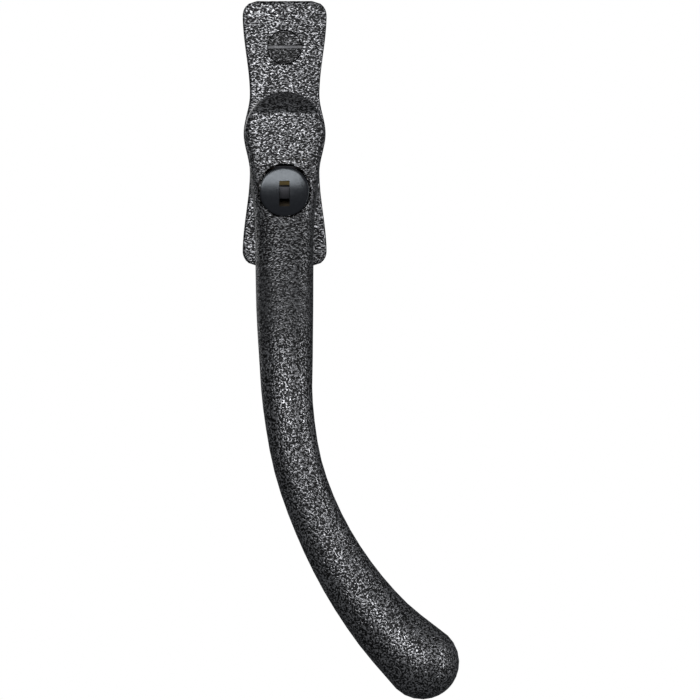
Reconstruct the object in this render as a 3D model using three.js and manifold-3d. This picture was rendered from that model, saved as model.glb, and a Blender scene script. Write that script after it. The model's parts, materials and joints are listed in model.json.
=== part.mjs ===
// A locking espagnolette casement-window handle with a curved, pear-ended lever.
// It is drawn lying on its back: X right, Y up the window, Z out into the room, with the
// spindle's axis at the origin and the window's face at Z = 0. The exported group stands it up.
import * as THREE from "three";
import Module from "manifold-3d";
import { mergeVertices } from "three/addons/utils/BufferGeometryUtils.js";

const wasm = await Module();
wasm.setup();

// Driving dimensions, in millimetres
const PLATE_HALF_LENGTH = 33.1;
const PLATE_HALF_WIDTH = 10.5;
const PLATE_CORNER = 3.6;
const WAIST_HALF_WIDTH = 8.7;
const WAIST_AT = 9.7; // distance of each waist from the spindle
const BULGE_HALF_WIDTH = 10.25;
const PLATE_FRONT = 9;
const PLATE_SKIN = 2.5;
const PLATE_WALL = 1.7;
const FIXING_SPACING = 43;
const SCREW_LENGTH = 45;

const HUB_RADIUS = 10;
const HUB_TOP = 10.45; // its back is a little taller than it is wide
const HUB_BACK = 9.55;
const HUB_FRONT = 21;
const HUB_CREST = 4.9; // the hub's flat front ends this far above the spindle
const SPIGOT_RADIUS = 6.9;
const SPIGOT_END = 1.4;
const SPIGOT_SQUARE = 9.6;
const SPINDLE_SQUARE = 6.9;
const SPINDLE_BACK = -30;
const SPINDLE_FRONT = 16;

const LOCK_Y = -14.6;
const LOCK_BORE = 6.55;
const LOCK_FLOOR = 11.35;
const BARREL_RADIUS = 6.2;
const BARREL_BORE = 4.4;
const BARREL_BACK = 16.6;
const BARREL_FRONT = 24.9;
const PLUG_RADIUS = 4.2;
const PLUG_BACK = 19.5;
const CAP_FRONT = 26.8;
const LATCH_Z = 18.4;
const STOP_PIN_Z = 18.6;
const STOP_PIN_OFFSET = 6.05; // from the barrel's axis, towards the hub
const PUSH_TRAVEL = 3.5;
const BOLT_RADIUS = 2;
const BOLT_HOLE = 2.3;
const STOP_PIN_RADIUS = 0.8;
const MOUTH_RELIEF = 0.2; // the bore is eased by this much, and more above the barrel than below
const MOUTH_RISE = 0.25;
const MOUTH_FLOOR = 15;

const ROLL_PIN_RADIUS = 1.5;
const ROLL_PIN_Z = 13;

const GAP = 0.1; // running clearance between neighbouring pieces
const ROUND = 32; // sides of a round piece
const CLEAR_OUT = 40; // a cut this far out passes every front face

// Materials
function finish(color, roughness, metalness) {
  return new THREE.MeshStandardMaterial({ color, roughness, metalness });
}

const coated = finish(0x34363a, 0.5, 0.4);
const blackGloss = finish(0x0c0c0e, 0.25, 0.3);
const steel = finish(0x9a9da1, 0.35, 0.9);
const springSteel = finish(0x6e7074, 0.4, 0.9);
const brass = finish(0xa8832f, 0.35, 0.9);
const acetal = finish(0xd8d6cc, 0.6, 0);

// Closed geometry to solid and back
function solid(geometry) {
  const bare = geometry.clone();
  bare.deleteAttribute("normal");
  bare.deleteAttribute("uv");
  const welded = mergeVertices(bare, 1e-4);
  const vertProperties = new Float32Array(welded.attributes.position.array);
  const triVerts = new Uint32Array(welded.index.array);
  return new wasm.Manifold(new wasm.Mesh({ numProp: 3, vertProperties, triVerts }));
}

function meshOf(name, body, material) {
  const { vertProperties, triVerts } = body.getMesh();
  const geometry = new THREE.BufferGeometry();
  geometry.setAttribute("position", new THREE.BufferAttribute(vertProperties, 3));
  geometry.setIndex(new THREE.BufferAttribute(triVerts, 1));
  geometry.computeVertexNormals();
  const mesh = new THREE.Mesh(geometry, material);
  mesh.name = name;
  return mesh;
}

// Basic solids, each between two heights above the window's face
function prism(shape, from, to, curveSegments = 6) {
  const settings = { depth: to - from, bevelEnabled: false, curveSegments };
  const geometry = new THREE.ExtrudeGeometry(shape, settings);
  return solid(geometry.translate(0, 0, from));
}

// The same with both of its rims rounded
function roundedPrism(shape, from, to, edge, curveSegments = 7) {
  const geometry = new THREE.ExtrudeGeometry(shape, {
    depth: to - from - 2 * edge,
    bevelThickness: edge,
    bevelSize: edge,
    bevelOffset: -edge,
    bevelSegments: 2,
    curveSegments,
  });
  return solid(geometry.translate(0, 0, from + edge));
}

function disc(radius, from, to, x = 0, y = 0, sides = ROUND) {
  const geometry = new THREE.CylinderGeometry(radius, radius, to - from, sides);
  return solid(geometry.rotateX(Math.PI / 2).translate(x, y, (from + to) / 2));
}

function ring(outer, inner, from, to, x = 0, y = 0) {
  return disc(outer, from, to, x, y).subtract(disc(inner, from - 1, to + 1, x, y));
}

function block(width, height, from, to, x = 0, y = 0) {
  const geometry = new THREE.BoxGeometry(width, height, to - from);
  return solid(geometry.translate(x, y, (from + to) / 2));
}

function crossPin(radius, fromX, toX, y, z, sides = 20) {
  const geometry = new THREE.CylinderGeometry(radius, radius, toX - fromX, sides);
  return solid(geometry.rotateZ(Math.PI / 2).translate((fromX + toX) / 2, y, z));
}

// A wire wound as a spring along Z, or along Y when it lies flat
function coil(meanRadius, wire, turns, length) {
  class Helix extends THREE.Curve {
    getPoint(t, target = new THREE.Vector3()) {
      const angle = t * turns * 2 * Math.PI;
      return target.set(meanRadius * Math.cos(angle), meanRadius * Math.sin(angle), t * length);
    }
  }
  const section = new THREE.Shape().absarc(0, 0, wire / 2, 0, 2 * Math.PI);
  return new THREE.ExtrudeGeometry(section, {
    extrudePath: new Helix(),
    steps: Math.round(turns * 11),
    curveSegments: 3,
    bevelEnabled: false,
  });
}

// The waisted backplate: straight ends with round corners, two waists and a bulge at the spindle
function plateOutline(inset) {
  const end = PLATE_HALF_LENGTH - inset;
  const wide = PLATE_HALF_WIDTH - inset;
  const waist = WAIST_HALF_WIDTH - inset;
  const bulge = BULGE_HALF_WIDTH - inset;
  const corner = Math.max(PLATE_CORNER - inset, 1);
  const shoulder = end - corner;
  const outline = new THREE.Shape();
  outline.moveTo(bulge, 0);
  outline.bezierCurveTo(bulge, 3.4, waist, 5.2, waist, WAIST_AT);
  outline.bezierCurveTo(waist, 15.5, wide, 22, wide, shoulder);
  outline.absarc(wide - corner, shoulder, corner, 0, Math.PI / 2);
  outline.absarc(corner - wide, shoulder, corner, Math.PI / 2, Math.PI);
  outline.bezierCurveTo(-wide, 22, -waist, 15.5, -waist, WAIST_AT);
  outline.bezierCurveTo(-waist, 5.2, -bulge, 3.4, -bulge, 0);
  outline.bezierCurveTo(-bulge, -3.4, -waist, -5.2, -waist, -WAIST_AT);
  outline.bezierCurveTo(-waist, -15.5, -wide, -22, -wide, -shoulder);
  outline.absarc(corner - wide, -shoulder, corner, Math.PI, 1.5 * Math.PI);
  outline.absarc(wide - corner, -shoulder, corner, 1.5 * Math.PI, 2 * Math.PI);
  outline.bezierCurveTo(wide, -22, waist, -15.5, waist, -WAIST_AT);
  outline.bezierCurveTo(waist, -5.2, bulge, -3.4, bulge, 0);
  return outline;
}

const SCREW_HEAD = 4.3;
const SCREW_SHANK = 2.4;
const SCREW_POST = 5.6;
const BUSH_OUTER = 8.1;

function backplate() {
  let plate = roundedPrism(plateOutline(0), -2, PLATE_FRONT, 0.7).subtract(block(40, 90, -3, 0));
  let hollow = prism(plateOutline(PLATE_WALL), -1, PLATE_FRONT - PLATE_SKIN, 8);
  for (const y of [-FIXING_SPACING / 2, FIXING_SPACING / 2]) {
    hollow = hollow.subtract(disc(SCREW_POST, -2, 8, 0, y));
  }
  plate = plate.subtract(hollow);
  for (const y of [-FIXING_SPACING / 2, FIXING_SPACING / 2]) {
    plate = plate.subtract(disc(SCREW_SHANK + 0.2, -1, 10, 0, y));
    plate = plate.subtract(disc(SCREW_HEAD + 0.25, 6.2, 10, 0, y));
  }
  plate = plate.subtract(disc(BUSH_OUTER + GAP, 5, 10));
  return plate.subtract(disc(BOLT_HOLE + GAP, 5, 10, 0, LOCK_Y, 24));
}

function fixingScrew(y) {
  const top = PLATE_FRONT - 0.4;
  const profile = [
    [0, top - SCREW_LENGTH],
    [SCREW_SHANK - 0.5, top - SCREW_LENGTH],
    [SCREW_SHANK, top - SCREW_LENGTH + 0.6],
    [SCREW_SHANK, 6.3],
    [SCREW_HEAD, 6.3],
    [SCREW_HEAD, top - 0.4],
    [SCREW_HEAD - 0.6, top - 0.1],
    [0, top],
  ];
  const turned = new THREE.LatheGeometry(profile.map(([r, z]) => new THREE.Vector2(r, z)), 32);
  const screw = solid(turned.rotateX(Math.PI / 2).translate(0, y, 0));
  return screw.subtract(block(10, 1.1, top - 1, top + 1, 0, y));
}

// Lever: lofted neck and grip, hub, lock housing and spigot
const GRIP_Z = 36.6;
const END_ANGLE = THREE.MathUtils.degToRad(47);
const PEAR_RADIUS = 9.25;
const PEAR_DEPTH = 8.2;
const PEAR = new THREE.Vector3(34.3, -131.9, GRIP_Z);

// Each section: where its centre is, its half-width and half-depth, and how square it is (2 is an ellipse)
const gripSections = [
  { at: [0, 3, 15.3], wide: 7.6, deep: 5.2, square: 4 },
  { at: [0, -3, 15.3], wide: 8.9, deep: 5.5, square: 4 },
  { at: [0, -9, 15.5], wide: 8.6, deep: 5.8, square: 4 },
  { at: [0, -14.4, 17.3], wide: 8.1, deep: 5.9, square: 3.6 },
  { at: [0, -21, 19.9], wide: 7.5, deep: 5.9, square: 3 },
  { at: [0, -32, 24.3], wide: 7.25, deep: 5.8, square: 2.5 },
  { at: [0.1, -44, 29.2], wide: 7.1, deep: 5.6, square: 2.2 },
  { at: [0.4, -56, 33.6], wide: 6.7, deep: 5.4, square: 2.1 },
  { at: [0.9, -68, 36.2], wide: 6.25, deep: 5.3, square: 2 },
  { at: [3.4, -83.1, GRIP_Z], wide: 6.05, deep: 5.3, square: 2 },
  { at: [8.55, -97.3, GRIP_Z], wide: 6.25, deep: 5.4, square: 2 },
  { at: [15.7, -110.5, GRIP_Z], wide: 6.95, deep: 6, square: 2 },
  { at: [24.6, -122.4, GRIP_Z], wide: 7.95, deep: 6.9, square: 2 },
  { at: PEAR.toArray(), wide: PEAR_RADIUS, deep: PEAR_DEPTH, square: 2 },
];
const SECTION_SIDES = 32;

// One loop of points around a section, across `side` and `front`
function sectionLoop(centre, side, front, wide, deep, square) {
  return Array.from({ length: SECTION_SIDES }, (_, i) => {
    const angle = (i / SECTION_SIDES) * 2 * Math.PI;
    const across = Math.sign(Math.cos(angle)) * Math.abs(Math.cos(angle)) ** (2 / square) * wide;
    const out = Math.sign(Math.sin(angle)) * Math.abs(Math.sin(angle)) ** (2 / square) * deep;
    return centre.clone().addScaledVector(side, across).addScaledVector(front, out);
  });
}

// A closed skin over loops that all have the same number of points
function skin(loops) {
  const sides = loops[0].length;
  const points = loops.flat();
  const faces = [];
  for (let row = 0; row + 1 < loops.length; row++) {
    for (let i = 0; i < sides; i++) {
      const a = row * sides + i;
      const b = row * sides + ((i + 1) % sides);
      faces.push(a, b, a + sides, b, b + sides, a + sides);
    }
  }
  const last = points.length - sides;
  for (let i = 1; i + 1 < sides; i++) faces.push(0, i + 1, i, last, last + i, last + i + 1);
  const geometry = new THREE.BufferGeometry().setFromPoints(points);
  return geometry.setIndex(faces);
}

function grip() {
  const path = new THREE.CatmullRomCurve3(gripSections.map(({ at }) => new THREE.Vector3(...at)));
  const sizes = new THREE.CatmullRomCurve3(
    gripSections.map(({ wide, deep, square }) => new THREE.Vector3(wide, deep, square)),
  );
  const out = new THREE.Vector3(0, 0, 1);
  const loops = [];
  const stops = (gripSections.length - 1) * 3;
  for (let i = 0; i <= stops; i++) {
    const t = i / stops;
    const along = path.getTangent(t);
    const side = new THREE.Vector3().crossVectors(out, along).normalize();
    const front = new THREE.Vector3().crossVectors(along, side);
    const { x: wide, y: deep, z: square } = sizes.getPoint(t);
    loops.push(sectionLoop(path.getPoint(t), side, front, wide, deep, Math.max(square, 2)));
  }
  const heading = new THREE.Vector3(Math.sin(END_ANGLE), -Math.cos(END_ANGLE), 0);
  const side = new THREE.Vector3().crossVectors(out, heading);
  for (const degrees of [15, 30, 45, 60, 73, 84]) {
    const angle = THREE.MathUtils.degToRad(degrees);
    const centre = PEAR.clone().addScaledVector(heading, PEAR_RADIUS * Math.sin(angle));
    const shrink = Math.cos(angle);
    loops.push(sectionLoop(centre, side, out, PEAR_RADIUS * shrink, PEAR_DEPTH * shrink, 2));
  }
  return solid(skin(loops));
}

// What is cut from the top of the hub to leave its rounded shoulder, as seen from the side
function aboveShoulder() {
  const side = new THREE.Shape();
  side.moveTo(HUB_FRONT + 1, HUB_CREST);
  side.lineTo(HUB_FRONT, HUB_CREST);
  side.bezierCurveTo(HUB_FRONT - 1.4, HUB_CREST + 1.4, 15.5, 9.4, 11, HUB_TOP + 0.4);
  side.lineTo(HUB_FRONT + 1, HUB_TOP + 1);
  const geometry = new THREE.ExtrudeGeometry(side, { depth: 30, bevelEnabled: false, curveSegments: 8 });
  return solid(geometry.translate(0, 0, -15).rotateY(-Math.PI / 2));
}

function lever() {
  const hubCircle = new THREE.Shape().absarc(0, 0, HUB_RADIUS, 0, 2 * Math.PI);
  const hub = roundedPrism(hubCircle, HUB_BACK, HUB_FRONT, 0.5, 20).scale([1, HUB_TOP / HUB_RADIUS, 1]);
  const housing = disc(LOCK_BORE + 1.35, HUB_BACK, 18.5, 0, LOCK_Y);
  const journal = disc(SPIGOT_RADIUS, 6.3, HUB_BACK + 1);
  const spigot = journal.add(block(SPIGOT_SQUARE, SPIGOT_SQUARE, SPIGOT_END, 7));
  let body = grip().add(hub).subtract(aboveShoulder()).add(housing).add(spigot);
  const socket = SPINDLE_SQUARE + 2 * GAP;
  body = body.subtract(block(socket, socket, 0, SPINDLE_FRONT + 0.3));
  body = body.subtract(crossPin(ROLL_PIN_RADIUS + GAP, -12, 5.4, 0, ROLL_PIN_Z));
  body = body.subtract(disc(LOCK_BORE, LOCK_FLOOR, CLEAR_OUT, 0, LOCK_Y));
  body = body.subtract(disc(LOCK_BORE + MOUTH_RELIEF, MOUTH_FLOOR, CLEAR_OUT, 0, LOCK_Y + MOUTH_RISE));
  body = body.subtract(disc(BOLT_HOLE, 5, 15, 0, LOCK_Y, 24));
  const notchBack = LATCH_Z - PUSH_TRAVEL - 1.1;
  body = body.subtract(block(3, 2.4, notchBack, LATCH_Z + 1.1, 0, LOCK_Y - LOCK_BORE + 0.3));
  body = body.subtract(crossPin(STOP_PIN_RADIUS + GAP, -12, 5, LOCK_Y + STOP_PIN_OFFSET, STOP_PIN_Z));
  const clipGroove = ring(9, 5.6, 2.2, 3);
  return body.subtract(clipGroove);
}

// Spindle, its pin, and what holds the lever to the plate
function spindle() {
  const bar = block(SPINDLE_SQUARE, SPINDLE_SQUARE, SPINDLE_BACK, SPINDLE_FRONT);
  return bar.subtract(crossPin(ROLL_PIN_RADIUS + 0.15, -6, 6, 0, ROLL_PIN_Z));
}

function rollPin() {
  const rolled = crossPin(ROLL_PIN_RADIUS, -8.9, 5.2, 0, ROLL_PIN_Z);
  const tube = rolled.subtract(crossPin(ROLL_PIN_RADIUS - 0.6, -10, 6, 0, ROLL_PIN_Z));
  return tube.subtract(block(20, 0.5, ROLL_PIN_Z, ROLL_PIN_Z + 3));
}

function journalBush() {
  const sleeve = disc(BUSH_OUTER, 6.6, 9.4).add(disc(9.4, 9.08, 9.45));
  return sleeve.subtract(disc(SPIGOT_RADIUS + GAP, 5, 11));
}

function squareHoled(outline, from, to) {
  const hole = SPIGOT_SQUARE + 2 * GAP;
  return prism(outline, from, to, 8).subtract(block(hole, hole, from - 1, to + 1));
}

function roundedSquare(half, corner) {
  const outline = new THREE.Shape();
  outline.absarc(half - corner, half - corner, corner, 0, Math.PI / 2);
  outline.absarc(corner - half, half - corner, corner, Math.PI / 2, Math.PI);
  outline.absarc(corner - half, corner - half, corner, Math.PI, 1.5 * Math.PI);
  outline.absarc(half - corner, corner - half, corner, 1.5 * Math.PI, 2 * Math.PI);
  return outline;
}

const circle = (radius) => new THREE.Shape().absarc(0, 0, radius, 0, 2 * Math.PI);

// A thin washer whose level rises and falls three times round its circle
function waveWasher() {
  const thin = { inner: 7, outer: 8, bottom: 6.08, top: 6.32, wave: 0.06 };
  const sides = 36;
  const loop = (radius, level) =>
    Array.from({ length: sides }, (_, i) => {
      const angle = (i / sides) * 2 * Math.PI;
      const height = level + thin.wave * Math.sin(3 * angle);
      return new THREE.Vector3(radius * Math.cos(angle), radius * Math.sin(angle), height);
    });
  const { inner, outer, bottom, top } = thin;
  return solid(band([loop(inner, bottom), loop(inner, top), loop(outer, top), loop(outer, bottom)]));
}

// A ring closed on itself, from loops taken in turn round its section
function band(loops) {
  const sides = loops[0].length;
  const faces = [];
  loops.forEach((_, row) => {
    const next = (row + 1) % loops.length;
    for (let i = 0; i < sides; i++) {
      const j = (i + 1) % sides;
      faces.push(row * sides + i, next * sides + i, row * sides + j);
      faces.push(row * sides + j, next * sides + i, next * sides + j);
    }
  });
  return new THREE.BufferGeometry().setFromPoints(loops.flat()).setIndex(faces);
}

const CAM_HALF = 6.2;

// A leaf with turned ends that presses on one side of the cam
function detentSpring(upper) {
  const inner = CAM_HALF + 0.15;
  const outer = inner + 0.5;
  const reach = 6.9;
  const outline = new THREE.Shape();
  outline.moveTo(-reach, inner);
  outline.lineTo(reach, inner);
  outline.lineTo(reach, outer + 1.4);
  outline.lineTo(reach - 0.5, outer + 1.4);
  outline.lineTo(reach - 0.5, outer);
  outline.lineTo(0.5 - reach, outer);
  outline.lineTo(0.5 - reach, outer + 1.4);
  outline.lineTo(-reach, outer + 1.4);
  const leaf = prism(outline, 3.7, 5.9);
  return upper ? leaf : leaf.rotate([0, 0, 180]);
}

function circlip() {
  const clip = { outer: 7.3, inner: 5.7, back: 2.3, front: 2.9, lugAt: 7.1, opening: 0.7 };
  const lug = new THREE.Shape().absarc(0, clip.lugAt, 1, 0, 2 * Math.PI);
  const closed = ring(clip.outer, clip.inner, clip.back, clip.front).add(prism(lug, clip.back, clip.front));
  return closed.subtract(block(clip.opening, 8, clip.back - 1, clip.front + 1, 0, 8));
}

// Push lock, drawn on its own axis and moved to the lock's place
const atLock = (body) => body.translate([0, LOCK_Y, 0]);

function lockBarrel() {
  let body = disc(BARREL_RADIUS, BARREL_BACK, BARREL_FRONT);
  body = body.subtract(disc(BARREL_BORE, BARREL_BACK + 0.7, BARREL_FRONT + 1));
  body = body.subtract(disc(1.3, BARREL_BACK - 1, BARREL_BACK + 1, 0, 0, 24));
  body = body.subtract(block(2.7, 3, LATCH_Z - 0.8, LATCH_Z + 0.8, 0, -5.2));
  body = body.subtract(block(14, 2, STOP_PIN_Z - 1, STOP_PIN_Z + PUSH_TRAVEL + 1, 0, STOP_PIN_OFFSET + 0.1));
  return atLock(body.subtract(ring(4.8, 3, 20.15, 20.85)));
}

function lockBolt() {
  const shank = disc(BOLT_RADIUS, 9.8, BARREL_BACK - GAP, 0, 0, 24);
  return atLock(shank.add(disc(1.2, 16, BARREL_BACK + 0.65, 0, 0, 24)));
}

function returnSpring() {
  const wire = coil(3.8, 0.5, 3.5, 4.3);
  return atLock(solid(wire.translate(0, 0, LOCK_FLOOR + 0.4)));
}

function stopPin() {
  return crossPin(STOP_PIN_RADIUS, -7.6, 4.8, LOCK_Y + STOP_PIN_OFFSET, STOP_PIN_Z);
}

const KEY_SIDE = -1; // the crank swings this way in X as the key turns clockwise
const CRANK_THROW = 1.6;

function barrelLatch() {
  const yoke = block(4, 2.9, LATCH_Z - 0.7, LATCH_Z + 0.7, KEY_SIDE * 0.8, -1.65);
  const slot = block(3, 1.7, LATCH_Z - 2, LATCH_Z + 2, KEY_SIDE * 0.8, -1.7);
  const tongue = block(2.4, 4, LATCH_Z - 0.7, LATCH_Z + 0.7, 0, -4.85);
  return atLock(yoke.subtract(slot).add(tongue));
}

function latchSpring() {
  const wire = coil(0.5, 0.2, 4, 3.9);
  return atLock(solid(wire.rotateX(-Math.PI / 2).translate(-KEY_SIDE * 0.4, 0.05, LATCH_Z)));
}

const WAFER_LEVELS = { retaining_wafer: 20.5, wafer_1: 21.4, wafer_2: 22.3 };
const KEYWAY = { width: 2.6, top: 1.6, bottom: -3.7, back: 20 };
const CAP_SLOT_TOP = 2.65; // the plug's brass shows as a lip between the keyway and the cap's slot
const SHUTTER = { hingeY: 1.35, z: 24.7, width: 2.4, bottom: -1.85, thick: 0.4 };

const WAFER_WIDTH = 3.6;

function keySlot(top, back) {
  const { width, bottom } = KEYWAY;
  return block(width, top - bottom, back, CAP_FRONT + 1, 0, (top + bottom) / 2);
}

function keyPlug() {
  let body = disc(PLUG_RADIUS, PLUG_BACK, BARREL_FRONT + 0.2).add(disc(5.45, BARREL_FRONT + 0.15, 26.2));
  body = body.add(disc(0.6, LATCH_Z - 0.8, PLUG_BACK + 0.5, 0, -CRANK_THROW, 16));
  body = body.subtract(keySlot(KEYWAY.top, KEYWAY.back));
  for (const level of Object.values(WAFER_LEVELS)) {
    body = body.subtract(block(WAFER_WIDTH + 0.3, 12, level - 0.3, level + 0.3));
  }
  return atLock(body.subtract(crossPin(0.42, -2.4, 2.4, SHUTTER.hingeY, SHUTTER.z, 12)));
}

function faceCap() {
  const shell = disc(BARREL_RADIUS, BARREL_FRONT + 0.2, 26.3);
  const rim = roundedPrism(circle(BARREL_RADIUS), 26, CAP_FRONT, 0.3, 20);
  const inside = disc(5.55, 20, 26.3);
  return atLock(shell.add(rim).subtract(inside).subtract(keySlot(CAP_SLOT_TOP, 20)));
}

function shutter() {
  const { hingeY, z, width, bottom, thick } = SHUTTER;
  const flap = block(width, hingeY - bottom, z - thick / 2, z + thick / 2, 0, (hingeY + bottom) / 2);
  return atLock(flap.add(crossPin(0.3, -2.2, 2.2, hingeY, z, 12)));
}

function wafer(level, top) {
  const bottom = -3.8;
  const plate = block(WAFER_WIDTH, top - bottom, level - 0.2, level + 0.2, 0, (top + bottom) / 2);
  return atLock(plate.subtract(block(KEYWAY.width, 5.2, level - 1, level + 1, 0, -0.5)));
}

// Everything together, stood up so that +Y goes into the window and +Z up it
const handle = new THREE.Group();
handle.name = "window_handle";
const put = (name, body, material) => handle.add(meshOf(name, body, material));

put("backplate", backplate(), coated);
put("top_fixing_screw", fixingScrew(FIXING_SPACING / 2), coated);
put("bottom_fixing_screw", fixingScrew(-FIXING_SPACING / 2), coated);
put("journal_bush", journalBush(), acetal);
put("detent_spring_upper", detentSpring(true), springSteel);
put("detent_spring_lower", detentSpring(false), springSteel);

put("lever", lever(), coated);
put("spindle", spindle(), steel);
put("spindle_roll_pin", rollPin(), steel);
put("wave_washer", waveWasher(), springSteel);
put("detent_cam", squareHoled(roundedSquare(CAM_HALF, 1.6), 3.7, 5.95), steel);
put("retaining_washer", squareHoled(circle(7.9), 3.1, 3.6), steel);
put("retaining_circlip", circlip(), springSteel);
put("barrel_stop_pin", stopPin(), steel);
put("barrel_return_spring", returnSpring(), springSteel);

put("lock_barrel", lockBarrel(), brass);
put("lock_bolt", lockBolt(), steel);
put("barrel_latch", barrelLatch(), steel);
put("latch_spring", latchSpring(), springSteel);
put("key_plug", keyPlug(), brass);
put("plug_face_cap", faceCap(), blackGloss);
put("keyhole_shutter", shutter(), steel);
for (const [name, level] of Object.entries(WAFER_LEVELS)) {
  put(name, wafer(level, name === "retaining_wafer" ? 4.42 : 3.8), brass);
}

const standing = new THREE.Group();
handle.rotation.x = Math.PI / 2;
standing.add(handle);
export default standing;
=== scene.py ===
import json
import math

import bmesh
import bpy
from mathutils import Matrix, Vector


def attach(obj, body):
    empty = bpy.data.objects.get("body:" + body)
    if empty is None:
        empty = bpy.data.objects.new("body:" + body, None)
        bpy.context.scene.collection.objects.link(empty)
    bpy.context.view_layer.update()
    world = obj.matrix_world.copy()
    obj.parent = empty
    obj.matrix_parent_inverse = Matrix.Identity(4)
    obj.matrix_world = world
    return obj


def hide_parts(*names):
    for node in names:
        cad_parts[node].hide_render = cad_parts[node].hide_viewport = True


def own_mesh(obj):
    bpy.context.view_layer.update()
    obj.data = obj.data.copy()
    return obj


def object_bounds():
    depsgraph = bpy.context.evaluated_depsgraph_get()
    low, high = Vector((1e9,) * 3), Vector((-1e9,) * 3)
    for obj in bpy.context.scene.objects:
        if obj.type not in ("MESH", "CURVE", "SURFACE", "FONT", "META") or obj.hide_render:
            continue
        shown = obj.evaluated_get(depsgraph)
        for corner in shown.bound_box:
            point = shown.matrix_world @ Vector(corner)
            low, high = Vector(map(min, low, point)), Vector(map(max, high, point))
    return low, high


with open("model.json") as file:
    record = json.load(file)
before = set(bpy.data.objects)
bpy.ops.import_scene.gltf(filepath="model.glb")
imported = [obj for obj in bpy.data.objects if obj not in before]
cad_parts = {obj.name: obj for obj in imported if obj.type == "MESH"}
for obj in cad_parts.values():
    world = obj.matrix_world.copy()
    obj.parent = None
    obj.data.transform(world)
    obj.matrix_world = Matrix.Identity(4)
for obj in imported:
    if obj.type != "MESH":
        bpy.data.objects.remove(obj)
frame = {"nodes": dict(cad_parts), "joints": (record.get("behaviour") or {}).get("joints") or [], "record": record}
cadLow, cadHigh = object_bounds()
mm = 0.001
hair = 0.00002  # points this close, in metres, are taken to be at one place
clearOut = 40  # a cut this far out, in millimetres, passes every front face
print("frame loaded")

# The height of the lock's axis, in millimetres, and the point its shutter hangs from
joints = {joint["name"]: joint for joint in frame["joints"]}
lockZ = joints["key_turn"]["pos_m"][2] / mm
shutterAt = joints["shutter_swing"]["pos_m"]


def deselectAll():
    if bpy.context.object and bpy.context.object.mode != "OBJECT":
        bpy.ops.object.mode_set(mode="OBJECT")
    bpy.ops.object.select_all(action="DESELECT")


def pick(piece):
    deselectAll()
    piece.select_set(True)
    bpy.context.view_layer.objects.active = piece


def settle(name):
    # place, turn and scale of the new primitive go into its mesh
    piece = bpy.context.object
    piece.name = name
    bpy.ops.object.transform_apply(location=True, rotation=True, scale=True)
    return piece


def combine(piece, tool, operation="DIFFERENCE"):
    pick(piece)
    modifier = piece.modifiers.new("combine", "BOOLEAN")
    modifier.object = tool
    modifier.operation = operation
    modifier.solver = "EXACT"
    bpy.ops.object.modifier_apply(modifier=modifier.name)
    bpy.data.objects.remove(tool, do_unlink=True)
    return piece


def editSelect(piece, kind, test):
    # opens the piece in edit mode with only the faces, edges or points that pass the test selected
    pick(piece)
    bpy.ops.object.mode_set(mode="EDIT")
    bpy.ops.mesh.select_mode(type={"faces": "FACE", "edges": "EDGE", "verts": "VERT"}[kind])
    bpy.ops.mesh.select_all(action="DESELECT")
    cage = bmesh.from_edit_mesh(piece.data)
    for element in getattr(cage, kind):
        if test(element):
            element.select_set(True)
    cage.select_flush_mode()
    bmesh.update_edit_mesh(piece.data)


def endEdit():
    bpy.ops.object.mode_set(mode="OBJECT")


def smooth(piece, degrees=35):
    pick(piece)
    bpy.ops.object.shade_smooth_by_angle(angle=math.radians(degrees))


def tidyNormals(piece):
    editSelect(piece, "faces", lambda face: True)
    bpy.ops.mesh.remove_doubles(threshold=hair / 10)
    bpy.ops.mesh.normals_make_consistent(inside=False)
    endEdit()
    return piece


# Bars and boxes between two distances out from the window, in millimetres
def addBar(name, radius, near, far, x=0, z=0, sides=64):
    deselectAll()
    bpy.ops.mesh.primitive_cylinder_add(
        vertices=sides,
        radius=radius * mm,
        depth=(far - near) * mm,
        location=(x * mm, -(near + far) / 2 * mm, z * mm),
        rotation=(math.pi / 2, 0, 0),
    )
    return settle(name)


def addBox(name, width, height, near, far, x=0, z=0):
    deselectAll()
    bpy.ops.mesh.primitive_cube_add(size=1, location=(x * mm, -(near + far) / 2 * mm, z * mm))
    bpy.context.object.scale = (width * mm, (far - near) * mm, height * mm)
    return settle(name)


def addCrossBar(name, radius, left, right, out, z, sides=24):
    deselectAll()
    bpy.ops.mesh.primitive_cylinder_add(
        vertices=sides,
        radius=radius * mm,
        depth=(right - left) * mm,
        location=((left + right) / 2 * mm, -out * mm, z * mm),
        rotation=(0, math.pi / 2, 0),
    )
    return settle(name)


def bevelEdges(piece, test, width, segments=3):
    editSelect(piece, "edges", test)
    bpy.ops.mesh.bevel(offset=width * mm, segments=segments, affect="EDGES")
    endEdit()
    return piece


def level(edge, out):
    # whether an edge lies at this distance out from the window, in millimetres
    return all(abs(vert.co.y + out * mm) < hair for vert in edge.verts)


def sharp(edge):
    return len(edge.link_faces) == 2 and edge.calc_face_angle(0) > math.radians(60)


def rim(out):
    # a test for the sharp edges at this distance out
    return lambda edge: level(edge, out) and sharp(edge)


# A group that turns a place on the surface into a colour, a roughness and a height
def newGroup(name, inputs):
    group = bpy.data.node_groups.new(name, "ShaderNodeTree")
    group.interface.new_socket("Vector", in_out="INPUT", socket_type="NodeSocketVector")
    for label, kind, value in inputs:
        socket = group.interface.new_socket(label, in_out="INPUT", socket_type=kind)
        socket.default_value = value
    for label in ("Colour", "Roughness", "Height"):
        kind = "NodeSocketColor" if label == "Colour" else "NodeSocketFloat"
        group.interface.new_socket(label, in_out="OUTPUT", socket_type=kind)
    return group, group.nodes.new("NodeGroupInput"), group.nodes.new("NodeGroupOutput")


def addNode(tree, kind, settings=None, **values):
    # values named _0, _1 go to sockets by number
    node = tree.nodes.new(kind)
    for name, value in (settings or {}).items():
        setattr(node, name, value)
    for name, value in values.items():
        socket = node.inputs[int(name[1:])] if name[0] == "_" else node.inputs[name]
        socket.default_value = value
    return node


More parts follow.
